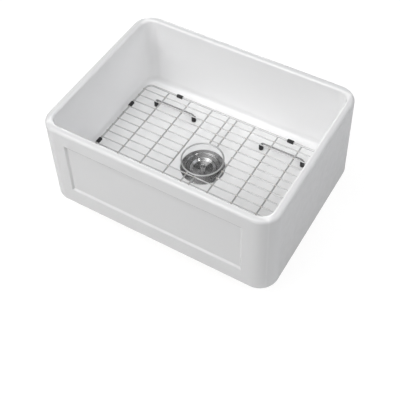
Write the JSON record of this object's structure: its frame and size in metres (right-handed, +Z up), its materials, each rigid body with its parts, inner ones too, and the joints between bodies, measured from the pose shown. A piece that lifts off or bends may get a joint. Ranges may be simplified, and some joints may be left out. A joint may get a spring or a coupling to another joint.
{
  "type": "farmhouse sink",
  "caption": "Rectangular glazed sink with a recessed apron panel, a strainer in its outlet and a wire grid on its floor.",
  "frame": {"origin": "on the outlet's axis, in the plane of the foot that runs round the underside", "axes": "+X to the right seen from the front, +Y from the apron to the back, +Z up"},
  "size_m": [0.61, 0.457, 0.3187],
  "materials": {
    "glaze": "glossy white glaze",
    "strainer_steel": "turned and brushed round its axis",
    "wire_steel": "bright drawn wire",
    "black_rubber": "matt",
    "black_plastic": "satin moulded"
  },
  "bodies": {
    "sink": {"basin": "glaze", "strainer_body": "strainer_steel", "flange_seal": "black_rubber", "clamp_gasket": "black_rubber", "friction_ring": "strainer_steel", "lock_nut": "black_plastic", "tail_washer": "black_rubber", "tail_spigot": "black_plastic", "coupling_nut": "black_plastic"},
    "basket": {"basket_wall": "strainer_steel", "basket_floor": "strainer_steel", "basket_rim": "strainer_steel"},
    "lid": {"lid_plate": "strainer_steel", "lid_knob": "strainer_steel", "knob_screw": "strainer_steel"},
    "grid": {"grid_frame": "wire_steel", "long_wires": "wire_steel", "cut_long_wires": "wire_steel", "cross_wires": "wire_steel", "cut_cross_wires": "wire_steel", "drain_hoop": "wire_steel", "leg_back_left": "wire_steel", "leg_back_right": "wire_steel", "leg_front_left": "wire_steel", "leg_front_right": "wire_steel", "foot_1": "black_rubber", "foot_2": "black_rubber", "foot_3": "black_rubber", "foot_4": "black_rubber", "foot_5": "black_rubber", "foot_6": "black_rubber", "foot_7": "black_rubber", "foot_8": "black_rubber", "bumper_back_left": "black_rubber", "bumper_back_right": "black_rubber", "bumper_front_left": "black_rubber", "bumper_front_right": "black_rubber", "bumper_side_back": "black_rubber", "bumper_side_front": "black_rubber"}
  },
  "joints": [
    {"name": "basket_lift", "type": "slide", "parent": "sink", "child": "basket", "axis": [0, 0, 1], "range_m": [0, 0.3]},
    {"name": "lid_lift", "type": "slide", "parent": "basket", "child": "lid", "axis": [0, 0, 1], "range_m": [0, 0.26]},
    {"name": "grid_lift", "type": "slide", "parent": "sink", "child": "grid", "axis": [0, 0, 1], "range_m": [0, 0.24]}
  ]
}
